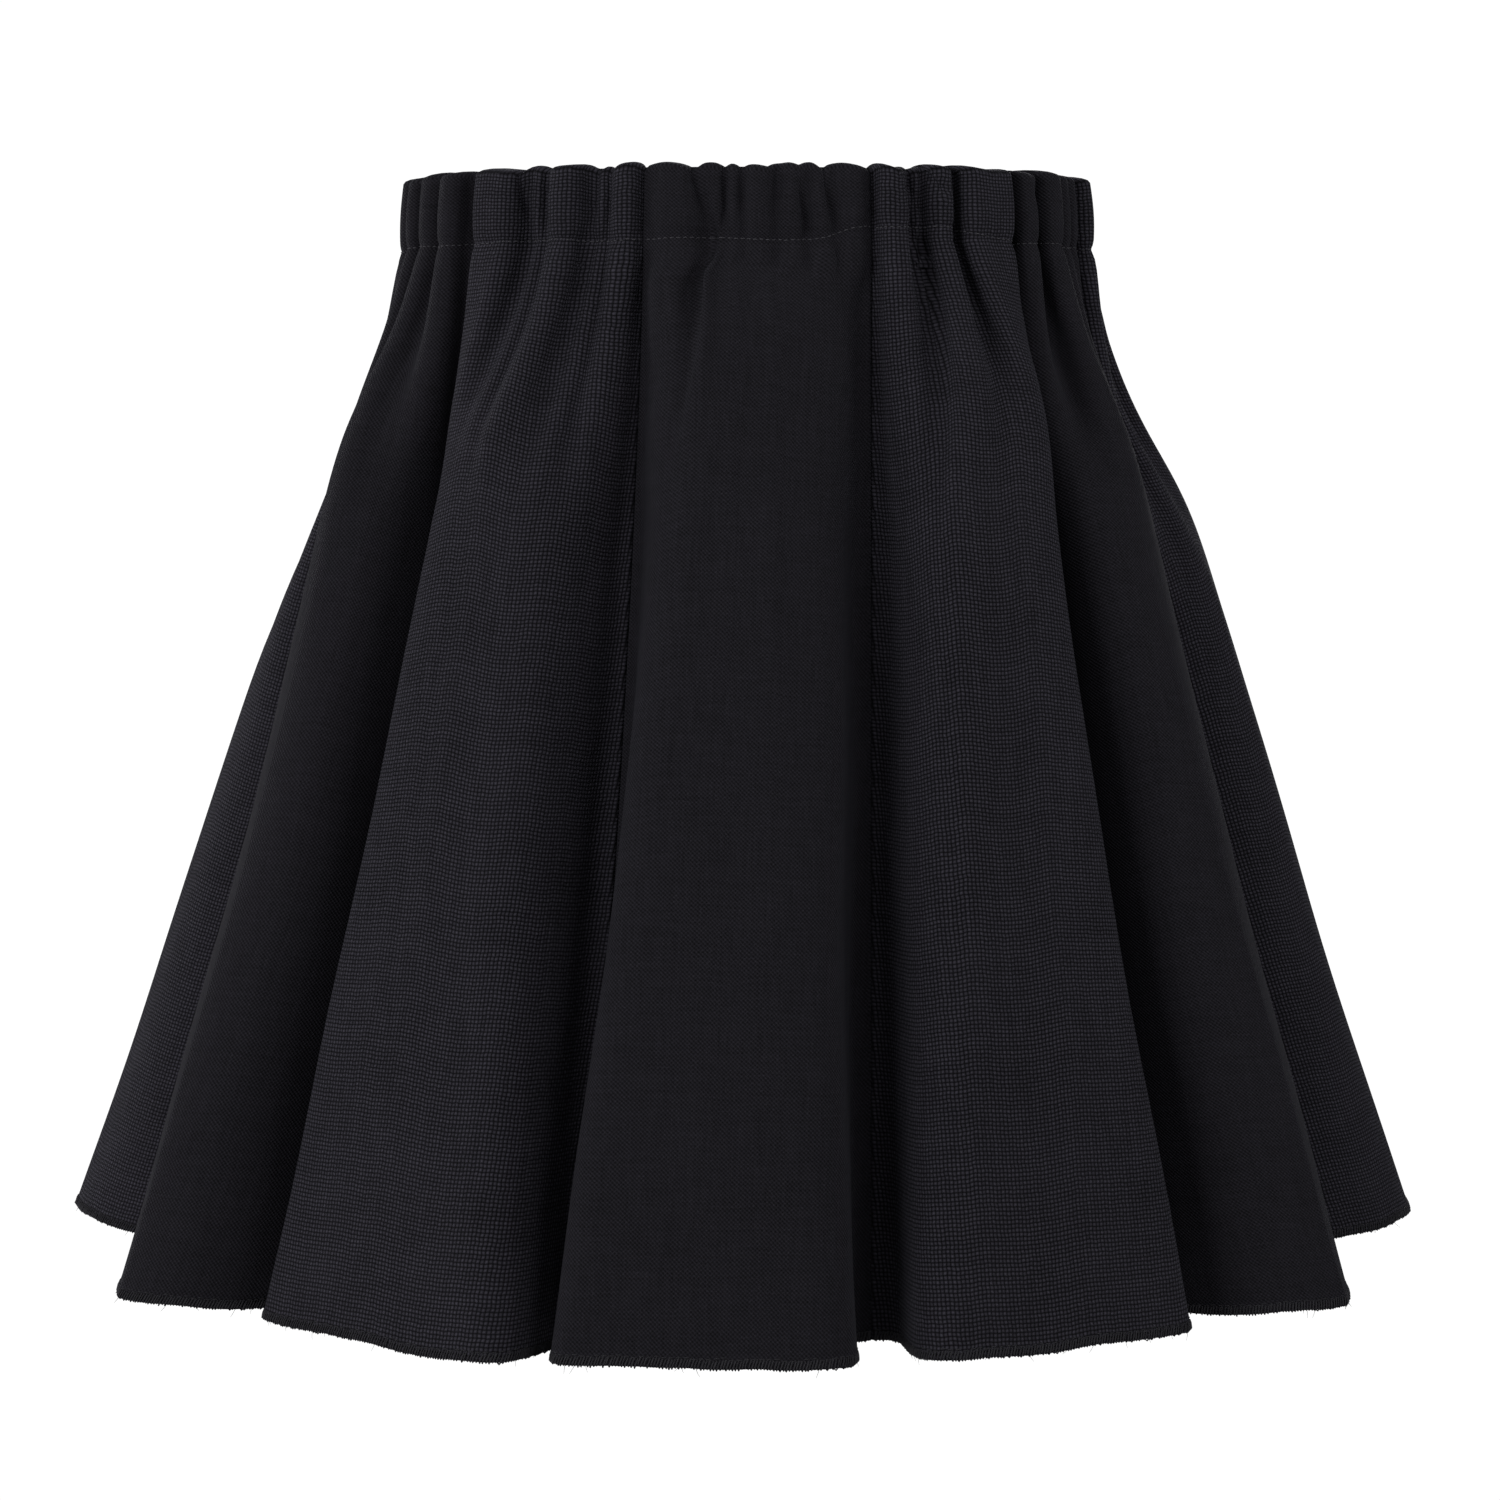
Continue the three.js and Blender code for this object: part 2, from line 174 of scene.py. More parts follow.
def gather(part, gathers, below):
    """How steeply the gathers run: each rises out of its left trough and falls to its right one, and
    is level between where it is broad. It is steepest near the trough, and dies away down its run."""
    slope = 0
    for left, right, depth, run in troughs(gathers, below[:, 0]):
        x, near = near_trough(part, left, right)
        wave = np.sign(0.5 - x) * np.sin(np.pi * near) * (0.45 + 0.75 * np.cos(np.pi / 2 * near) ** 2)
        fade = np.cos(np.pi / 2 * ramp(below / run))
        slope = slope - np.where((x > 0) & (x <= 1), depth * fade * wave, 0)
    return slope


def ridge(part, gathers, below):
    """1 on the ridges of the gathers and 0 in their troughs, at the height of the casing."""
    high = 0
    for left, right, depth, run in troughs(gathers, below[:, 0]):
        x, near = near_trough(part, left, right)
        high = high + np.where((x > 0) & (x <= 1), depth * np.sin(np.pi / 2 * near) ** 2, 0)
    return high


def turn_between(a, b):
    """The angle from direction a to direction b, seen from above."""
    return np.arctan2(a[:, 0] * b[:, 1] - a[:, 1] * b[:, 0], (a * b).sum(1))


def turned(direction, angle):
    """A direction seen from above, turned by an angle."""
    c, s = np.cos(angle), np.sin(angle)
    x, y = direction[..., 0], direction[..., 1]
    return np.stack([c * x - s * y, s * x + c * y], -1)


# The number of short straight steps that a gore's section is worked out in. Every second point is kept.
STEPS = 192
COLUMNS = np.linspace(0, 1, STEPS // 2 + 1)
STEEPEST = 2.4


def sections(gore, seams, below, inside):
    """The gore's cloth seen from above, one line for each level. The cloth's direction is the
    chord's between its two seams, turned by half the corner at each seam and by a steepness times
    its flute and gathers. Halving finds the steepness at which the cloth's width spans the chord."""
    lean, broad, swell, gathers = gore[2:]
    before, left, right, after = seams
    chord = right - left
    span = np.hypot(*chord.T)
    left_turn = turn_between(left - before, chord)[:, None] / 2
    right_turn = turn_between(chord, after - right)[:, None] / 2
    down = np.maximum(below, 0)[:, None]
    width = GORE_TOP + (GORE_HEM - GORE_TOP) * down / SKIRT_DROP
    part = (np.arange(STEPS) + 0.5) / STEPS
    fluted = np.sin(np.pi / 2 * ramp(down / swell))
    wave = fluted * flute(part, lean, broad, down) + inside * gather(part, gathers, down)
    arc = -left_turn + (left_turn + right_turn) * part
    low = np.zeros((len(below), 1))
    high = np.full((len(below), 1), STEEPEST)
    for halving in range(26):
        middle = (low + high) / 2
        angle = arc + middle * wave
        reach = np.hypot(np.cos(angle).mean(1), np.sin(angle).mean(1)) * width[:, 0]
        slack = (reach > span)[:, None]
        low = np.where(slack, middle, low)
        high = np.where(slack, high, middle)
    angle = arc + low * wave
    step = np.stack([np.cos(angle), np.sin(angle)], -1) * width[..., None] / STEPS
    line = np.concatenate([np.zeros((len(below), 1, 2)), step.cumsum(1)], 1)
    heading = np.arctan2(*chord.T[::-1]) - np.arctan2(line[:, -1, 1], line[:, -1, 0])
    line = turned(line, heading[:, None]) + left[:, None]
    along = np.gradient(line, axis=1)
    along[:, 0] = turned(chord, -left_turn[:, 0])
    along[:, -1] = turned(chord, right_turn[:, 0])
    along = along / np.linalg.norm(along, axis=2, keepdims=True)
    return line[:, ::2], along[:, ::2]


# How the gores hang
# The cloth is stiff enough to swell into one broad flute a gore, with the seams in the valleys. The
# elastic draws the top into narrow gathers, which run down and fade. The form is worked out level by
# level, and then small creases and swells are laid on it.
LEVELS = np.concatenate([np.arange(0, 160, 4), np.arange(160, SKIRT_DROP + 1, 8)])
CASING_LEVELS = np.arange(-2, -CASING_DEPTH - 0.1, -2.0)
INSIDE_LEVELS = np.array([4, 8, 12, 16, 20, 24, 26.5, 28.5, 31, 33.5, 36, TURNED_IN])
FOLD_TURNS = np.radians(np.arange(0, 181, 20))
FOLD_HEIGHT = 2.2
LEVEL_DROP = 375
HEM_TRIM = 0.7

# Creases laid on the front as the photograph shows them, and alike at the back. Each is the gore it
# is on, where it starts, across the gore and below the stitching, where it ends, how wide it is and
# how deep, all but the places across in mm. A crease with a depth below 0 is a soft ridge.
CREASES = [
    ("front_center", 0.30, -8, 0.22, 100, 4.8, 2.9),
    ("front_center", 0.20, 5, 0.09, 110, 9.0, -0.9),
    ("front_center", 0.20, -32, 0.29, -3, 2.5, 3.0),
    ("front_center", 0.345, -32, 0.35, -1, 1.8, 1.9),
    ("front_center", 0.42, -32, 0.42, -5, 1.6, 1.3),
    ("front_center", 0.60, -32, 0.57, -9, 2.4, 1.4),
    ("front_center", 0.67, -24, 0.71, 3, 2.2, 1.9),
    ("front_center", 0.775, -32, 0.835, -1, 2.3, 2.3),
    ("front_center", 0.69, -4, 0.665, 22, 3.0, 0.7),
    ("front_center", 0.93, -12, 0.89, -1, 2.8, -0.5),
    ("front_center", 0.62, 60, 0.50, 260, 16.0, 0.6),
    ("front_center", 0.80, 4, 0.75, 300, 11.0, -2.3),
    ("front_center", 0.95, 10, 0.90, 230, 8.0, 0.8),
    ("front_right", 0.155, -32, 0.27, -2, 2.2, 1.5),
    ("front_right", 0.235, -32, 0.32, -8, 1.7, 1.1),
    ("front_right", 0.33, -32, 0.47, -17, 1.8, 1.5),
    ("front_right", 0.46, -19, 0.39, -11, 2.4, -1.0),
    ("front_right", 0.44, -24, 0.43, -17, 3.0, 1.3),
    ("front_right", 0.315, -2, 0.275, 130, 4.6, 3.2),
    ("front_right", 0.56, -32, 0.56, -2, 2.2, 1.3),
    ("front_right", 0.57, -3, 0.58, 60, 4.5, 1.3),
    ("front_right", 0.99, -6, 0.80, 40, 5.0, 0.8),
    ("front_right", 0.45, 90, 0.55, 300, 20.0, 0.7),
    ("right_front", 0.14, -32, 0.27, -2, 2.2, 0.9),
    ("right_front", 0.40, -27, 0.48, -10, 3.0, 0.5),
    ("right_front", 0.30, 2, 0.52, 95, 6.0, 1.1),
    ("right_front", 0.62, 30, 0.45, 180, 14.0, 0.7),
    ("right", 0.31, -26, 0.38, -4, 2.2, 0.8),
    ("right", 0.40, 30, 0.50, 170, 12.0, 0.8),
    ("right_back", 0.50, -27, 0.47, -3, 2.2, 0.9),
    ("right_back", 0.35, 10, 0.45, 120, 8.0, 0.8),
    ("back_right", 0.29, -27, 0.34, -4, 2.0, 1.0),
    ("back_right", 0.58, -25, 0.64, -8, 2.4, 0.7),
    ("back_right", 0.55, 0, 0.40, 110, 9.0, 0.8),
    ("back_right", 0.60, 120, 0.50, 320, 22.0, 0.7),
    ("back_center", 0.17, -27, 0.23, -3, 2.2, 0.9),
    ("back_center", 0.45, -24, 0.40, -9, 2.6, 0.6),
    ("back_center", 0.60, -27, 0.57, -2, 2.0, 0.9),
    ("back_center", 0.36, 0, 0.24, 90, 7.0, 1.2),
    ("back_center", 0.65, 80, 0.55, 280, 18.0, 0.6),
    ("back_left", 0.51, -27, 0.50, -3, 2.0, 1.0),
    ("back_left", 0.76, -26, 0.72, -10, 2.6, 0.6),
    ("back_left", 0.30, 0, 0.42, 90, 7.0, 1.1),
    ("back_left", 0.50, 110, 0.62, 300, 20.0, 0.6),
    ("left_back", 0.33, -27, 0.36, -3, 2.2, 0.9),
    ("left_back", 0.60, 5, 0.50, 120, 9.0, 0.9),
    ("left", 0.52, -26, 0.57, -4, 2.2, 0.8),
    ("left", 0.55, 20, 0.45, 160, 12.0, 0.8),
    ("left_front", 0.45, -27, 0.47, -4, 2.0, 0.5),
    ("left_front", 0.70, -27, 0.67, -3, 3.0, 0.6),
    ("left_front", 0.72, -2, 0.50, 110, 7.0, 0.9),
    ("left_front", 0.60, 60, 0.70, 220, 16.0, 0.7),
    ("front_left", 0.31, -32, 0.395, -2, 2.0, 1.7),
    ("front_left", 0.45, -32, 0.46, -2, 1.9, 1.4),
    ("front_left", 0.775, -32, 0.75, -1, 2.2, 1.6),
    ("front_left", 0.83, -27, 0.83, -4, 1.7, 0.5),
    ("front_left", 0.39, -3, 0.28, 70, 5.0, 1.4),
    ("front_left", 0.74, -2, 0.47, 112, 6.5, 2.0),
    ("front_left", 0.90, 2, 0.76, 90, 8.0, -1.3),
    ("front_left", 0.66, 4, 0.38, 120, 9.0, -0.7),
    ("front_left", 0.55, 110, 0.72, 330, 20.0, 0.8),
]


def stitch_level(name, part):
    """How far below its usual height the casing's stitch line runs: it climbs 5 mm before the front
    centre gore's right seam, comes down again on the next gore, and wavers a little elsewhere."""
    climb = 0 * part
    if name == "front_center":
        climb = 5.2 * rise(part, 0.74, 0.97)
    if name == "front_right":
        climb = 5.2 * (1 - rise(part, 0.5, 0.97))
    return -climb - 0.35 * np.sin(9 * part + len(name))


def laid_on(name, index, part, below, gathers):
    """How far the cloth stands out from its hung form, in mm. A crease is a bell across its line,
    rising and fading along it. The casing is puffed out between its fold and its stitches, and drawn
    in along the stitches. Slow swells keep the long flutes from looking ruled."""
    width = GORE_TOP + (GORE_HEM - GORE_TOP) * np.maximum(below, 0) / SKIRT_DROP
    out = 0
    for gore, across0, start, across1, end, breadth, depth in CREASES:
        if gore == name:
            way = np.clip((below - start) / (end - start), 0, 1)
            line = across0 + (across1 - across0) * rise(way, -0.2, 1.2)
            bell = np.exp(-(((part - line) * width / breadth) ** 2))
            along = rise(below, start - 6, start + 8) * (1 - rise(below, end - 0.45 * (end - start), end))
            out = out - depth * bell * along
    off_seam = rise(part, 0, 0.06) * rise(1 - part, 0, 0.06)
    crown = ridge(part, gathers, np.minimum(below, 0))
    puff = np.sin(np.pi * np.clip(-below / CASING_DEPTH, 0, 1)) * (0.2 + 0.5 * crown)
    sewn = np.exp(-(((below - stitch_level(name, part)) / 2.0) ** 2))
    flare = 0.5 * crown * rise(below, 1, 7) * (1 - rise(below, 10, 34))
    phase = 2.4 * index
    swell = 0.45 * np.sin(0.021 * below + 5.1 * part + phase)
    swell = swell + 0.3 * np.sin(0.047 * below - 9.0 * part + 2 * phase)
    slow = swell * rise(below, 20, 110)
    return off_seam * (out + puff + flare + slow) - (0.25 + 0.55 * off_seam * crown) * sewn


def hung_gore(index):
    """One gore's middle surface as a grid of points, in rows from the hem up the outside, over the
    fold and down inside, with columns from the left cut edge to the right one. It also gives each
    point's place on the flat cloth, and which row holds the stitches."""
    gore = GORES[index]
    name, gathers = gore[0], gore[5]
    part = COLUMNS

    # The skirt and the outside of the casing. Every thread down the cloth keeps its length: where it
    # goes out by so much from one level to the next, it comes down by less. The hem is then trimmed
    # most of the way to level.
    gap = 4.0
    fine = np.arange(0, SKIRT_DROP + 1, gap)
    seams = [seam_line(index + k, fine) for k in (-1, 0, 1, 2)]
    line, along = sections(gore, seams, fine, 1)
    out = np.hypot(*np.moveaxis(np.diff(line, axis=0), 2, 0))
    fall = np.concatenate([np.zeros((1, len(part))), np.sqrt(np.maximum(gap**2 - out**2, 0.5)).cumsum(0)])
    fall = fall * (1 + HEM_TRIM * (LEVEL_DROP / fall[-1] - 1))
    picked = np.searchsorted(fine, LEVELS)[::-1]
    casing_seams = [seam_line(index + k, CASING_LEVELS) for k in (-1, 0, 1, 2)]
    casing, casing_along = sections(gore, casing_seams, CASING_LEVELS, 1)
    below = np.concatenate([LEVELS[::-1], CASING_LEVELS])
    flat = np.concatenate([line[picked], casing])
    way = np.concatenate([along[picked], casing_along])
    height = np.concatenate([STITCHING - fall[picked], STITCHING - CASING_LEVELS[:, None] + 0 * part])
    stitch_row = len(LEVELS) - 1

    # The turned-in cloth lies on a smaller oval, inside the elastic, with its gathers bulging
    # inward. Below the elastic it slopes out, and is caught in the stitches.
    corners = np.radians(SEAM_WAIST[(index + np.arange(-1, 3)) % 12])
    inside_seams = on_oval(INSIDE_OVAL, corners)[:, None]
    inner, inner_along = sections(gore, inside_seams, np.array([-CASING_DEPTH]), -1)
    inner, inner_along = inner[0], inner_along[0]

    high = ridge(part[None], gathers, np.full((1, 1), -float(CASING_DEPTH)))[0]
    crown = CASING_TOP - 1.9 + 1.2 * np.sqrt(high) + 0.35 * np.sin(11 * part + 2 * index)
    crown = crown + 0.3 * np.sin(23 * part + 5 * index)
    over = FOLD_TURNS[:, None]
    top, top_along = casing[-1], casing_along[-1]
    fold_flat = top + (inner - top) * ((1 - np.cos(over)) / 2)[..., None]
    squeeze = rise(over, 0, np.pi)[..., None]
    fold_along = top_along + (inner_along - top_along) * squeeze
    fold_along = fold_along / np.linalg.norm(fold_along, axis=2, keepdims=True)
    fold_height = crown - CLOTH_THICKNESS / 2 - FOLD_HEIGHT + FOLD_HEIGHT * np.sin(over)

    slope = rise(INSIDE_LEVELS, 27, 36)[:, None, None]
    caught = line[2] - 1.35 * np.stack([along[2, :, 1], -along[2, :, 0]], -1)
    in_flat = inner + (caught - inner) * slope
    in_along = inner_along + (along[2] - inner_along) * slope
    in_along = in_along / np.linalg.norm(in_along, axis=2, keepdims=True)
    in_height = CASING_TOP - CLOTH_THICKNESS / 2 - INSIDE_LEVELS[:, None] + 0 * part

    # The casing's rows are drawn up or down a little, so that they meet the uneven fold.
    stretch = np.clip(-below / CASING_DEPTH, 0, 1)[:, None]
    height = height + stretch * (fold_height[0] - height[-1])
    pull = ((TURNED_IN - INSIDE_LEVELS) / (TURNED_IN - INSIDE_LEVELS[0]))[:, None]
    in_height = in_height + pull * (crown - CASING_TOP)

    flat = np.concatenate([flat, fold_flat[1:], in_flat])
    way = np.concatenate([way, fold_along[1:], in_along])
    height = np.concatenate([height, fold_height[1:], in_height])
    out = np.stack([way[..., 1], -way[..., 0]], -1)
    turn = np.concatenate([np.zeros(len(below)), FOLD_TURNS[1:], np.full(len(INSIDE_LEVELS), np.pi)])
    turn = (turn[:, None] + 0 * part)[..., None]
    face = np.concatenate([out * np.cos(turn), np.sin(turn)], -1)
    grid = np.concatenate([flat, height[..., None]], -1)
    stand = laid_on(name, index, part[None], below[:, None], gathers)
    over_top = stand[-1] * np.cos(FOLD_TURNS[1:, None] / 2) ** 2
    stand = np.concatenate([stand, over_top])
    grid[: len(stand)] += face[: len(stand)] * stand[..., None]

    # At each side the cloth rolls in over the seam and runs on inside as its allowance, which is
    # trimmed to almost nothing in the casing.
    up_fold = CASING_DEPTH + FOLD_LENGTH * FOLD_TURNS[1:] / np.pi
    up_cloth = np.concatenate([-below, up_fold, CASING_DEPTH + FOLD_LENGTH + INSIDE_LEVELS])
    trimmed = 0.3
    allowance = trimmed + (SEAM_ALLOWANCE - trimmed) * rise(-up_cloth, 14, 44)
    roll, clear = 0.7, CLOTH_THICKNESS / 2 + 0.03
    width = GORE_TOP + (GORE_HEM - GORE_TOP) * np.maximum(-up_cloth, 0) / SKIRT_DROP
    bends = np.radians([0, 30, 60, 90])
    sides = []
    for end, sign in ((0, 1), (-1, -1)):
        inward = np.concatenate([sign * way[:, end], np.zeros((len(way), 1))], -1)
        edge = grid[:, end] + (roll + clear) * inward
        around = [edge + roll * (np.sin(b) * -inward + (np.cos(b) - 1) * face[:, end]) for b in bends]
        around += [around[-1] - face[:, end] * (allowance * t)[:, None] for t in (0.5, 1)]
        away = [clear + roll - roll * b for b in bends] + [clear - roll - allowance * t for t in (0.5, 1)]
        across = np.stack([-sign * (width / 2 - a) for a in away], 1)
        points = np.stack(around, 1)
        sides.append((points[:, ::-1], across[:, ::-1]) if end == 0 else (points, across))
    kept = slice(2, len(part) - 2)
    grid = np.concatenate([sides[0][0], grid[:, kept], sides[1][0]], 1)
    across = np.concatenate([sides[0][1], (part[kept] - 0.5) * width[:, None], sides[1][1]], 1)
    place = np.stack([across, np.repeat(up_cloth[:, None], across.shape[1], 1)], -1)
    return grid * 0.001, place * 0.001, stitch_row


def normals_of(grid):
    """The direction out of a grid's face at each point: the way across it crossed with the way up."""
    face = np.cross(np.gradient(grid, axis=1), np.gradient(grid, axis=0))
    return face / np.linalg.norm(face, axis=2, keepdims=True)


def new_mesh(name, points, faces, place=None):
    """A mesh object from an array of points and one of faces with equal corners, smooth, and with a
    UV map of each point's place on the flat cloth where that is given."""
    mesh = bpy.data.meshes.new(name)
    count, corners = faces.shape
    mesh.vertices.add(len(points))
    mesh.vertices.foreach_set("co", points.astype(np.float32).ravel())
    mesh.loops.add(count * corners)
    mesh.loops.foreach_set("vertex_index", faces.astype(np.int32).ravel())
    mesh.polygons.add(count)
    mesh.polygons.foreach_set("loop_start", np.arange(count, dtype=np.int32) * corners)
    mesh.polygons.foreach_set("use_smooth", np.ones(count, bool))
    if place is not None:
        layer = mesh.uv_layers.new(name="flat_cloth")
        layer.uv.foreach_set("vector", place[faces.ravel()].astype(np.float32).ravel())
    mesh.update()
    mesh.validate()
    piece = bpy.data.objects.new(name, mesh)
    bpy.context.scene.collection.objects.link(piece)
    return piece


def cloth_shell(name, grid, place, thickness):
    """A thin closed shell on a grid: half the thickness out of each face, joined round the edges."""
    rows, columns = grid.shape[:2]
    face = normals_of(grid)
    points = np.concatenate([grid + face * thickness / 2, grid - face * thickness / 2]).reshape(-1, 3)
    at = np.arange(2 * rows * columns).reshape(2, rows, columns)
    front, back = at
    sheets = []
    for a, b, c, d in (
        (front[:-1, :-1], front[:-1, 1:], front[1:, 1:], front[1:, :-1]),
        (back[:-1, :-1], back[1:, :-1], back[1:, 1:], back[:-1, 1:]),
        (back[0, :-1], back[0, 1:], front[0, 1:], front[0, :-1]),
        (front[-1, :-1], front[-1, 1:], back[-1, 1:], back[-1, :-1]),
        (back[:-1, 0], front[:-1, 0], front[1:, 0], back[1:, 0]),
        (front[:-1, -1], back[:-1, -1], back[1:, -1], front[1:, -1]),
    ):
        sheets.append(np.stack([x.ravel() for x in (a, b, c, d)], 1))
    piece = new_mesh(name, points, np.concatenate(sheets), np.tile(place.reshape(-1, 2), (2, 1)))
    piece.data.set_sharp_from_angle(angle=math.radians(60))
    return piece


# The two cloths
# Both are woven of dull black yarn with a faint blue cast and a little nap that catches the light at
# grazing angles. The coarse one is a basket weave that shows a grid of round dots 1.4 mm apart. The
# fine one is a twill with slanting lines about 1 mm apart. In both the colour is painted lighter on the
# yarns' crowns and darker in the grooves between them: painted highlight and painted shade.
class Value:
    """A number or colour in a material, as one socket. Sums on values add Math nodes."""

    def __init__(self, tree, socket):
        self.tree = tree
        self.socket = socket

    def node(self, kind, settings=(), **inputs):
        """Adds a node, gives it its settings and then its sockets' values or links."""
        made = self.tree.nodes.new(kind)
        for key, value in dict(settings).items():
            setattr(made, key, value)
        for key, value in inputs.items():
            index = int(key[1:]) if key[1:].isdigit() else key.replace("_", " ")
            if isinstance(value, Value):
                self.tree.links.new(value.socket, made.inputs[index])
            else:
                made.inputs[index].default_value = value
        return made

    def math(self, operation, *others):
        inputs = {f"i{n}": x for n, x in enumerate((self, *others))}
        made = self.node("ShaderNodeMath", {"operation": operation}, **inputs)
        return Value(self.tree, made.outputs[0])

    def __add__(self, other):
        return self.math("ADD", other)

    def __mul__(self, other):
        return self.math("MULTIPLY", other)

    def __sub__(self, other):
        return self.math("SUBTRACT", other)

    def __truediv__(self, other):
        return self.math("DIVIDE", other)

    def __pow__(self, other):
        return self.math("POWER", other)

    def __rsub__(self, other):
        return (self * -1) + other

    __radd__ = __add__
    __rmul__ = __mul__

    def cos(self):
        return self.math("COSINE")

    def floor(self):
        return self.math("FLOOR")

    def size(self):
        return self.math("ABSOLUTE")

    def noise(self, x, y, detail=2.0):
        """Smooth random values from 0 to 1, at a place that x and y give."""
        where = self.node("ShaderNodeCombineXYZ", X=x, Y=y)
        place = Value(self.tree, where.outputs[0])
        made = self.node("ShaderNodeTexNoise", Vector=place, Scale=1.0, Detail=detail)
        return Value(self.tree, made.outputs[0])

    def step(self, low, high):
        """Goes smoothly from 0 where the value is low to 1 where it is high."""
        smooth = {"interpolation_type": "SMOOTHSTEP"}
        made = self.node("ShaderNodeMapRange", smooth, Value=self, From_Min=low, From_Max=high)
        return Value(self.tree, made.outputs[0])

    def between(self, dark, light):
        """The colour this far along the way from a dark one to a light one."""
        made = self.node(
            "ShaderNodeMix", {"data_type": "RGBA", "clamp_factor": True},
            i0=self, i6=(*dark, 1), i7=(*light, 1))
        return Value(self.tree, made.outputs[2])


def begin_material(name, kind, settings, output, axes):
    """A new material, and the numbers in millimetres, one for each axis, of a place that a node of
    some kind gives."""
    material = bpy.data.materials.new(name)
    material.use_nodes = True
    tree = material.node_tree
    start = Value(tree, None)
    where = start.node(kind, settings)
    split = start.node("ShaderNodeSeparateXYZ", Vector=Value(tree, where.outputs[output]))
    return material, [Value(tree, split.outputs[axis]) * 1000 for axis in range(axes)]


def begin_cloth(name):
    """A new cloth's material, and a place on the flat cloth: across it and up it, in millimetres."""
    return begin_material(name, "ShaderNodeUVMap", {"uv_map": "flat_cloth"}, "UV", 2)


def begin_trim(name):
    """A new material of a trimming, and a place on the skirt in millimetres."""
    return begin_material(name, "ShaderNodeTexCoord", {}, "Object", 3)


def dress(material, colour, roughness, height, depth, sheen):
    """Joins colour, roughness and a height to the shader. Depth is the height's full size in metres.
    The sheen and the faint gloss are the same all over the cloth."""
    tree = material.node_tree
    shader = tree.nodes["Principled BSDF"]
    bump = colour.node("ShaderNodeBump", Strength=1.0, Distance=depth, Height=height)
    tree.links.new(colour.socket, shader.inputs["Base Color"])
    tree.links.new(roughness.socket, shader.inputs["Roughness"])
    tree.links.new(bump.outputs[0], shader.inputs["Normal"])
    shader.inputs["Specular IOR Level"].default_value = 0.08
    shader.inputs["Sheen Weight"].default_value = sheen
    shader.inputs["Sheen Roughness"].default_value = 0.45
    shader.inputs["Sheen Tint"].default_value = (0.8, 0.82, 1.0, 1.0)


def coarse_weave():
    """Basket weave. A yarn 1.4 mm wide bulges where it lies on top, so the height is the product of
    a round wave across and one up, and neighbours take turns at standing higher. The colour follows
    the bulges too: painted highlight on them and painted shade in the gaps between yarns."""
    material, (x, y) = begin_cloth("coarse_basket_weave")
    slack = x.noise(x * 0.11, y * 0.3) - 0.5
    slant = x.noise(x * 0.3 + 40, y * 0.11) - 0.5
    across, up = 1.40, 1.45
    a = (x + 0.9 * slack) * (math.pi / across)
    b = (y + 0.9 * slant) * (math.pi / up)
    wave_a = a.cos()
    wave_b = b.cos()
    bulge_and_painted_shade = (wave_a.size() * wave_b.size()) ** 0.9
    turn = wave_a * wave_b
    yarn_a = x.noise((x / across + 0.5).floor() * 7.3, y * 0.05)
    yarn_b = x.noise(x * 0.05 + 90, (y / up + 0.5).floor() * 5.7)
    tone = yarn_a + yarn_b - 1
    patch = x.noise(x * 0.03 + 11, y * 0.022, 3.0) - 0.5
    lint = (x.noise(x * 1.9, y * 2.3 + 7, 0.0) - 0.72).step(0.0, 0.12)
    # Painted highlight and painted shade: lighter on the bulges and where neighbours stand higher, darker
    # in the gaps. The yarns' tone, the patches and the lint are the cloth's own.
    light = 0.80 * bulge_and_painted_shade + 0.12 * turn + 0.55 * tone * bulge_and_painted_shade + 0.14 * patch + 0.3 * lint * bulge_and_painted_shade
    colour = light.between((0.0008, 0.0007, 0.0010), (0.0370, 0.0347, 0.0452))
    roughness = 0.98 - 0.12 * bulge_and_painted_shade
    height = 0.75 * bulge_and_painted_shade + 0.20 * turn + 0.35 * tone
    dress(material, colour, roughness, height, 0.00045, 0.03)
    return material


def fine_weave():
    """Twill. Its height is a strong wave on one slant and a weaker one on the other, with each fine
    yarn a little darker or lighter than the next. The colour follows the ribs too: painted highlight
    on them and painted shade in the grooves."""
    material, (x, y) = begin_cloth("fine_twill")
    slack = x.noise(x * 0.16, y * 0.16) - 0.5
    a = (x + y + 0.5 * slack) * (2 * math.pi / 1.46)
    b = (y - x + 0.5 * slack) * (2 * math.pi / 1.50)
    rib_and_painted_shade = 0.5 + 0.32 * a.cos() + 0.18 * b.cos()
    yarn = 0.73
    yarn_a = x.noise((x / yarn).floor() * 6.1, y * 0.06)
    yarn_b = x.noise(x * 0.06 + 70, (y / yarn).floor() * 4.9)
    tone = yarn_a + yarn_b - 1
    patch = x.noise(x * 0.03 + 31, y * 0.022, 3.0) - 0.5
    lint = (x.noise(x * 1.3 + 3, y * 1.5, 0.0) - 0.60).step(0.0, 0.2)
    # Painted highlight and painted shade: lighter on the ribs, darker in the grooves between them. The
    # yarns' tone, the patches and the lint are the cloth's own.
    light = 0.14 + 0.62 * rib_and_painted_shade + 0.36 * tone + 0.10 * patch + 0.30 * lint
    colour = light.between((0.0012, 0.0011, 0.0014), (0.0172, 0.0160, 0.0208))
    roughness = 0.95 - 0.1 * rib_and_painted_shade
    height = 0.9 * rib_and_painted_shade + 0.2 * tone
    dress(material, colour, roughness, height, 0.00030, 0.03)
    return material


cloths = {"coarse": coarse_weave(), "fine": fine_weave()}

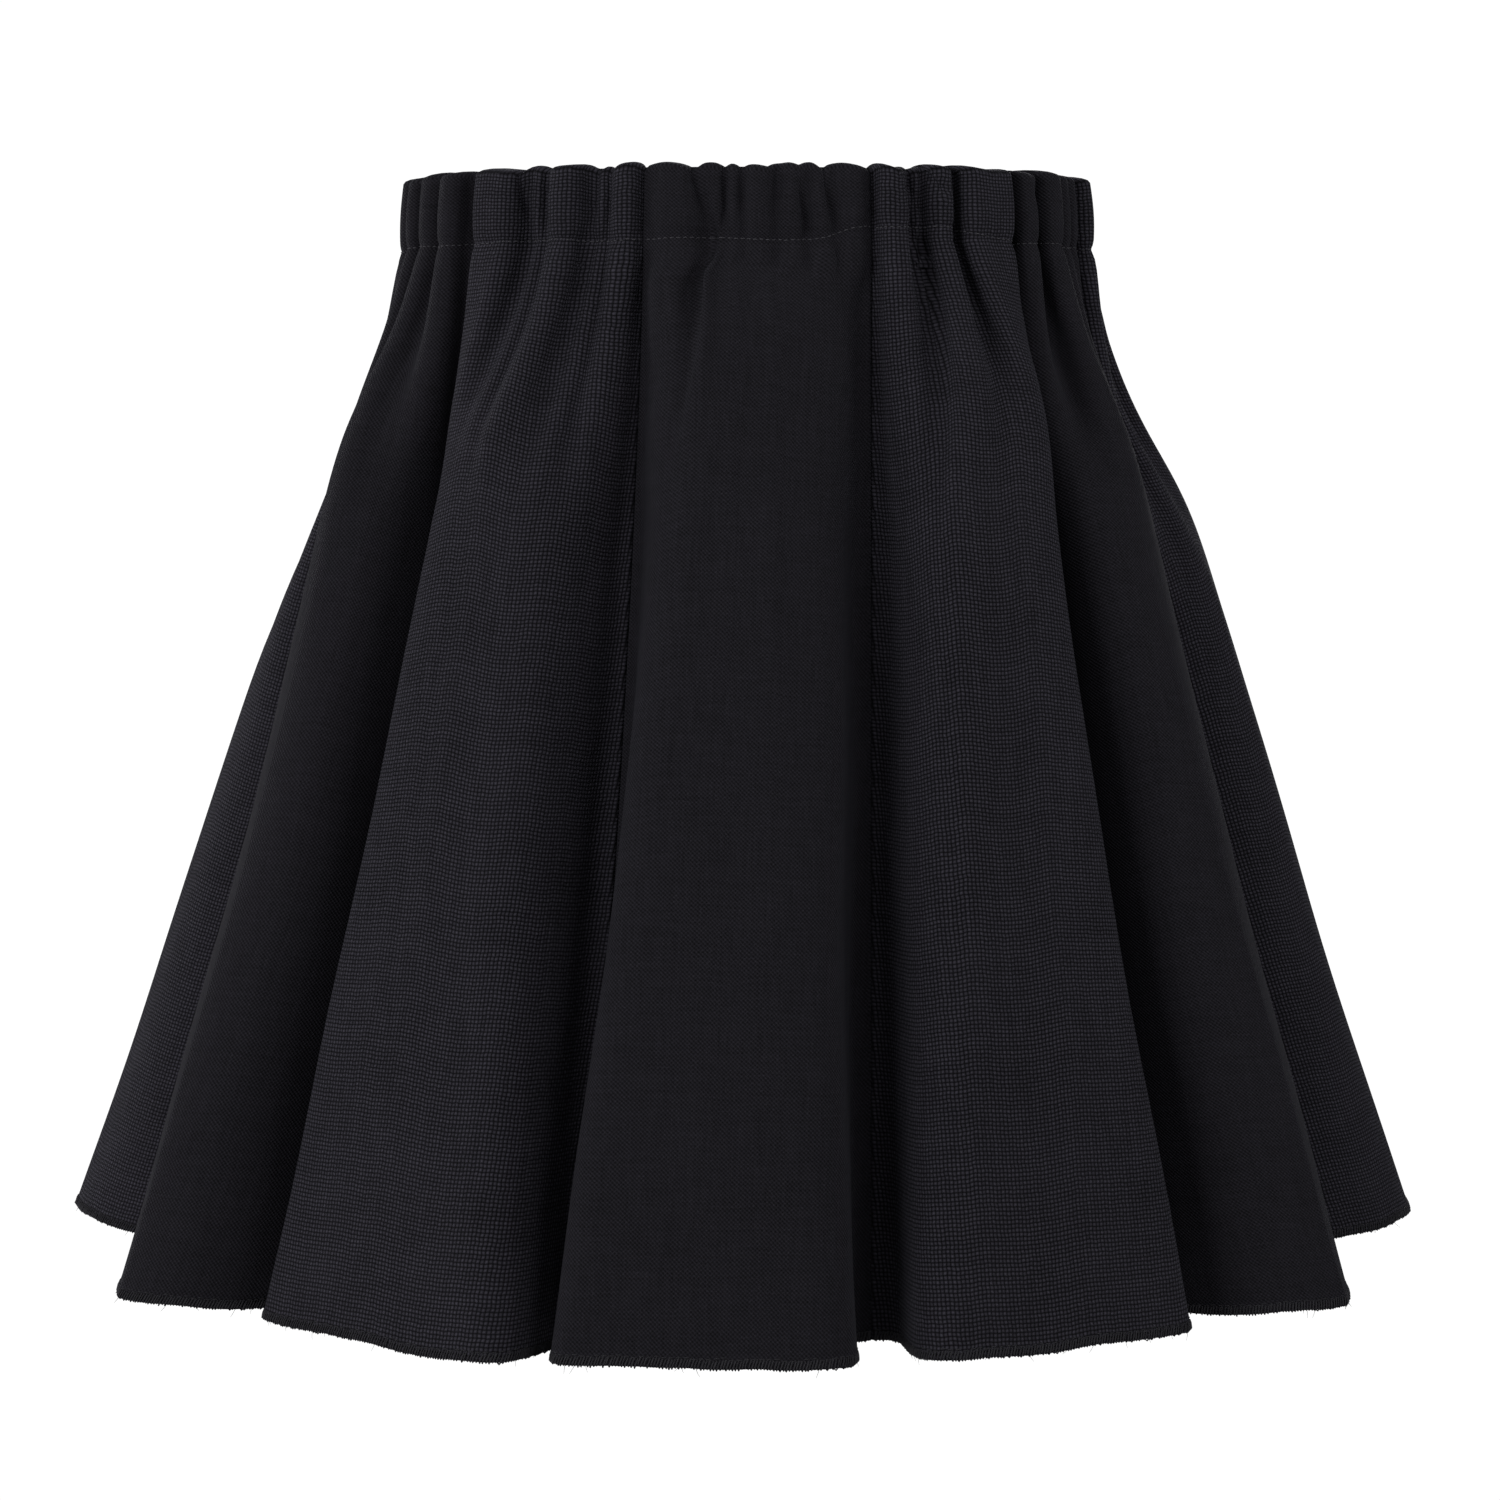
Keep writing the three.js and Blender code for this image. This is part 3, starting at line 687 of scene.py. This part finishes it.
# The twelve gores, hung and sewn
# Each is one sheet from its cut hem up over the fold of the casing and down to its stitched edge
# inside. The coarse and the fine cloth take turns round the skirt.
hung = []
for index, gore in enumerate(GORES):
    grid, place, stitch_row = hung_gore(index)
    piece = cloth_shell("cloth_" + gore[0], grid, place, CLOTH_THICKNESS * 0.001)
    piece.data.materials.append(cloths[gore[1]])
    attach(piece, "root")
    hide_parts("gore_" + gore[0])
    gore[1] + "_cloth"
    hung.append((gore[0], grid, stitch_row))

# The casing's stitches
# One row of black thread, a little lighter than the cloth, goes through the outside and the turned-in
# edge at the foot of the casing. A stitch shows about every 2.4 mm, sunk in at both of its ends.
def on_cloth(grid, row, part, lift):
    """Points on a gore, at fractional rows and at parts from 0 to 1 across it, lifted off its middle
    surface by so many mm: the four grid points around each are weighed by how near they are. The
    gore's left seam comes at column 4, after those of its allowance."""
    face = normals_of(grid)
    column = part * (len(COLUMNS) - 1) + 4
    low = np.clip(np.floor(row).astype(int), 0, len(grid) - 2)
    left = np.clip(np.floor(column).astype(int), 0, grid.shape[1] - 2)
    up, over = (row - low)[..., None], (column - left)[..., None]
    mixed = [
        (a[low, left] * (1 - over) + a[low, left + 1] * over) * (1 - up)
        + (a[low + 1, left] * (1 - over) + a[low + 1, left + 1] * over) * up for a in (grid, face)]
    return mixed[0] + mixed[1] * lift[..., None] * 0.001, mixed[1]


def thread_tubes(path, out, radius):
    """Tubes along many short paths at once: four points round each of a path's points, in the
    plane of its outward direction and the direction square to that and to the path."""
    along = np.gradient(path, axis=1)
    along = along / np.linalg.norm(along, axis=2, keepdims=True)
    beside = np.cross(along, out)
    beside = beside / np.linalg.norm(beside, axis=2, keepdims=True)
    upward = np.cross(beside, along)
    turn = np.arange(4) * np.pi / 2
    ring = upward[:, :, None] * np.cos(turn)[:, None] + beside[:, :, None] * np.sin(turn)[:, None]
    points = path[:, :, None] + ring * (radius * 0.001)[..., None, None]
    count, steps = path.shape[:2]
    at = np.arange(count * steps * 4).reshape(count, steps, 4)
    after = np.roll(at, -1, axis=2)
    faces = np.stack([at[:, :-1], after[:, :-1], after[:, 1:], at[:, 1:]], -1).reshape(-1, 4)
    caps = np.concatenate([at[:, 0, ::-1], at[:, -1]])
    return points.reshape(-1, 3), faces, caps


def thread_piece(name, parts, material):
    """One mesh of many tubes, with a cap on each end."""
    points, faces, caps, start = [], [], [], 0
    for p, f, c in parts:
        points.append(p)
        faces.append(f + start)
        caps.append(c + start)
        start += len(p)
    piece = new_mesh(name, np.concatenate(points), np.concatenate(faces + caps))
    piece.data.materials.append(material)
    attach(piece, "root")
    return piece


def sewing_thread(name, dark, pale):
    """Twisted black thread between two colours, duller than the cloth, with a fine slanting ply. The
    colour
    follows the ply: painted highlight on its crowns and painted shade in its grooves.
    """
    material, (x, y, z) = begin_trim(name)
    ply_and_painted_shade = ((x + y + 0.7 * z) * (math.pi / 0.35)).cos().size()
    tone = x.noise(x * 0.8 + y * 0.5, z * 0.8)
    # Painted highlight and painted shade: lighter on the ply's crowns, darker in its grooves. The tone is
    # the thread's own.
    light = 0.15 + 0.45 * ply_and_painted_shade + 0.5 * tone
    colour = light.between(dark, pale)
    roughness = 0.85 - 0.15 * ply_and_painted_shade
    dress(material, colour, roughness, ply_and_painted_shade, 0.00008, 0.03)
    return material


casing_thread = sewing_thread("casing_thread", (0.018, 0.018, 0.020), (0.066, 0.064, 0.072))
stitch_rng = np.random.default_rng(7)


def running_stitches(gore, row_at, pitch, long, lift, width):
    """Stitches side by side along a line on a gore. row_at gives the line's row at each place across,
    a stitch is so long, and it arches up in its middle and dips under the cloth at its ends."""
    middle = np.arange(-width / 2 + pitch, width / 2 - pitch / 2, pitch)
    middle = middle + stitch_rng.normal(0, 0.06, len(middle))
    t = np.linspace(-1, 1, 5)
    across = middle[:, None] + t * long / 2
    row = row_at(gore, across / width + 0.5) + stitch_rng.normal(0, 0.03, (len(middle), 1))
    arch = lift + 0.16 - 0.42 * t**2 + 0 * across
    path, out = on_cloth(gore[1], row, across / width + 0.5, arch)
    radius = (0.20 - 0.05 * t**2) * (1 + stitch_rng.normal(0, 0.07, (len(middle), 1)))
    return thread_tubes(path, out, radius)


def casing_line(gore, part):
    """The stitch line's row on a hung gore, where it leaves the straight one by 2 mm a row."""
    return gore[2] - stitch_level(gore[0], part) / 2


casing_rows = []
for gore in hung:
    casing_rows.append(running_stitches(gore, casing_line, 2.4, 1.75, CLOTH_THICKNESS / 2, GORE_TOP))
stitches = thread_piece("casing_stitches", casing_rows, casing_thread)

# The overlocked hem
# The hem isn't turned up. Its cut edge is overlocked: slanting loops of black thread wrap the edge
# every 1.05 mm, 3 mm up each face, held by a needle thread along their top, and a few fibres stray.
HEM_ROW_HEIGHT = 8
hem_thread = sewing_thread("hem_thread", (0.006, 0.006, 0.007), (0.032, 0.031, 0.035))
hem_rows = []
for gore in hung:
    middle = np.arange(-GORE_HEM / 2 + 1.0, GORE_HEM / 2 - 0.9, 1.05)
    count = len(middle)
    uneven = stitch_rng.normal(0, 1, (4, count, 1))
    height = np.array([3.1, 1.9, 0.45, -0.12, 0.4, 1.8, 3.0])
    slant = np.array([0.95, 0.55, 0.1, -0.1, -0.3, -0.6, -0.9])
    lift = np.array([0.60, 0.80, 0.78, 0.05, -0.78, -0.80, -0.60])
    row = (height + 0.16 * uneven[0]) / HEM_ROW_HEIGHT
    across = middle[:, None] + slant + 0.07 * uneven[1]
    path, out = on_cloth(gore[1], row, across / GORE_HEM + 0.5, lift + 0.05 * uneven[2])
    radius = 0.31 * (1 + 0.08 * uneven[3]) + 0 * row
    hem_rows.append(thread_tubes(path, out, radius))
overlock = thread_piece("hem_overlock", hem_rows, hem_thread)


def needle_line(gore, part):
    """The needle thread's row, 3.3 mm above the cut edge all the way across."""
    return 3.3 / HEM_ROW_HEIGHT + 0 * part


needle_rows, fibre_rows = [], []
fibres = 14
for gore in hung:
    needle_rows.append(running_stitches(gore, needle_line, 2.5, 2.2, CLOTH_THICKNESS / 2, GORE_HEM))
    draw = stitch_rng.random((4, fibres, 1))
    t = np.linspace(0, 1, 4)
    across = (draw[0] - 0.5) * (GORE_HEM - 8) + (draw[1] - 0.5) * 4.5 * t**1.5
    row = (0.6 - (1.2 + 2.4 * draw[2]) * t) / HEM_ROW_HEIGHT
    path, out = on_cloth(gore[1], row, across / GORE_HEM + 0.5, (draw[3] - 0.5) * 2.4 * t + 0 * across)
    fibre_rows.append(thread_tubes(path, out, (0.10 - 0.06 * t) + 0 * across))
caught = thread_piece("hem_needle_thread", needle_rows, hem_thread)
strays = thread_piece("hem_fibres", fibre_rows, hem_thread)

# The elastic
# A flat band of woven black elastic, 25 mm wide, goes round the waist inside the casing. It is ribbed
# along its length, and nothing of it shows unless the casing is opened.
def ribbed_elastic():
    """Fine ribs go round the band, one each 1.6 mm up it."""
    material, (x, y, z) = begin_trim("ribbed_elastic")
    rib_and_painted_shade = (z * (math.pi / 1.6)).cos().size()
    knit = x.noise(x * 0.9 + y * 0.9, z * 2.5)
    # Painted highlight and painted shade: lighter on the ribs, darker between them. The knit's noise is
    # the band's own.
    light = 0.2 + 0.5 * rib_and_painted_shade + 0.4 * knit
    colour = light.between((0.005, 0.005, 0.006), (0.028, 0.028, 0.030))
    roughness = 0.85 - 0.15 * rib_and_painted_shade
    dress(material, colour, roughness, rib_and_painted_shade + knit, 0.0003, 0.02)
    return material


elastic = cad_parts["waist_elastic"]
elastic.data.materials.clear()
elastic.data.materials.append(ribbed_elastic())


# The light, the floor and the camera
# The photograph is lit softly from the left in front, less from the right and above, and along both
# sides and behind, against plain white. The floor lies well below, as the skirt hangs in the air.
SKIRT_MIDDLE = (0, 0, -0.2)


def soft_light(name, place, size, power):
    """A square soft light at a place, facing the middle of the skirt."""
    lamp = bpy.data.lights.new(name, "AREA")
    lamp.size = size
    lamp.energy = power
    lit = bpy.data.objects.new(name, lamp)
    lit.location = place
    back = np.array(place) - np.array(SKIRT_MIDDLE)
    lit.rotation_euler = (math.acos(back[2] / np.linalg.norm(back)), 0, math.atan2(back[0], -back[1]))
    bpy.context.scene.collection.objects.link(lit)


soft_light("left_softbox", (-1.7, -1.8, 0.1), 1.2, 38.5)
soft_light("right_softbox", (0.8, -0.9, 0.35), 0.6, 5.3)
soft_light("top_softbox", (0, -0.8, 0.8), 0.6, 2.6)
soft_light("left_edge_light", (-2.4, -0.5, 0.4), 1.2, 24)
soft_light("right_edge_light", (2.4, -0.5, 0.4), 1.2, 21)
soft_light("back_edge_light", (-2.0, 1.3, 0.4), 1.2, 20)
soft_light("back_softbox", (0.6, 2.3, 0.7), 1.4, 36)

world = bpy.data.worlds.new("white_surround")
world.use_nodes = True
surround = Value(world.node_tree, None)
sight = surround.node("ShaderNodeLightPath")
seen = Value(world.node_tree, sight.outputs["Is Camera Ray"])
strength = 0.05 + 1.00 * seen
world.node_tree.links.new(strength.socket, world.node_tree.nodes["Background"].inputs["Strength"])
world.node_tree.nodes["Background"].inputs["Color"].default_value = (1.0, 1.0, 1.0, 1.0)
bpy.context.scene.world = world
bpy.context.scene.view_settings.view_transform = "Standard"

round_floor = np.arange(48) * 2 * np.pi / 48
floor_size, floor_level = 2.25, -1.9
ground = np.stack([
    floor_size * np.cos(round_floor), floor_size * np.sin(round_floor), floor_level + 0 * round_floor], 1)
floor = new_mesh("floor", ground, np.arange(48)[None])
paper = bpy.data.materials.new("white_paper")
paper.use_nodes = True
paper_shader = paper.node_tree.nodes["Principled BSDF"]
paper_shader.inputs["Base Color"].default_value = (0.85, 0.85, 0.85, 1.0)
paper_shader.inputs["Roughness"].default_value = 0.9
floor.data.materials.append(paper)

camera = bpy.data.objects.new("camera", bpy.data.cameras.new("camera"))
camera.data.sensor_width = 36
camera.data.lens = 75.06
camera.location = (0, -1.2238, -0.0780)
camera.rotation_euler = (math.radians(90 - 5.997), 0, math.radians(-0.074))
bpy.context.scene.collection.objects.link(camera)
bpy.context.scene.camera = camera
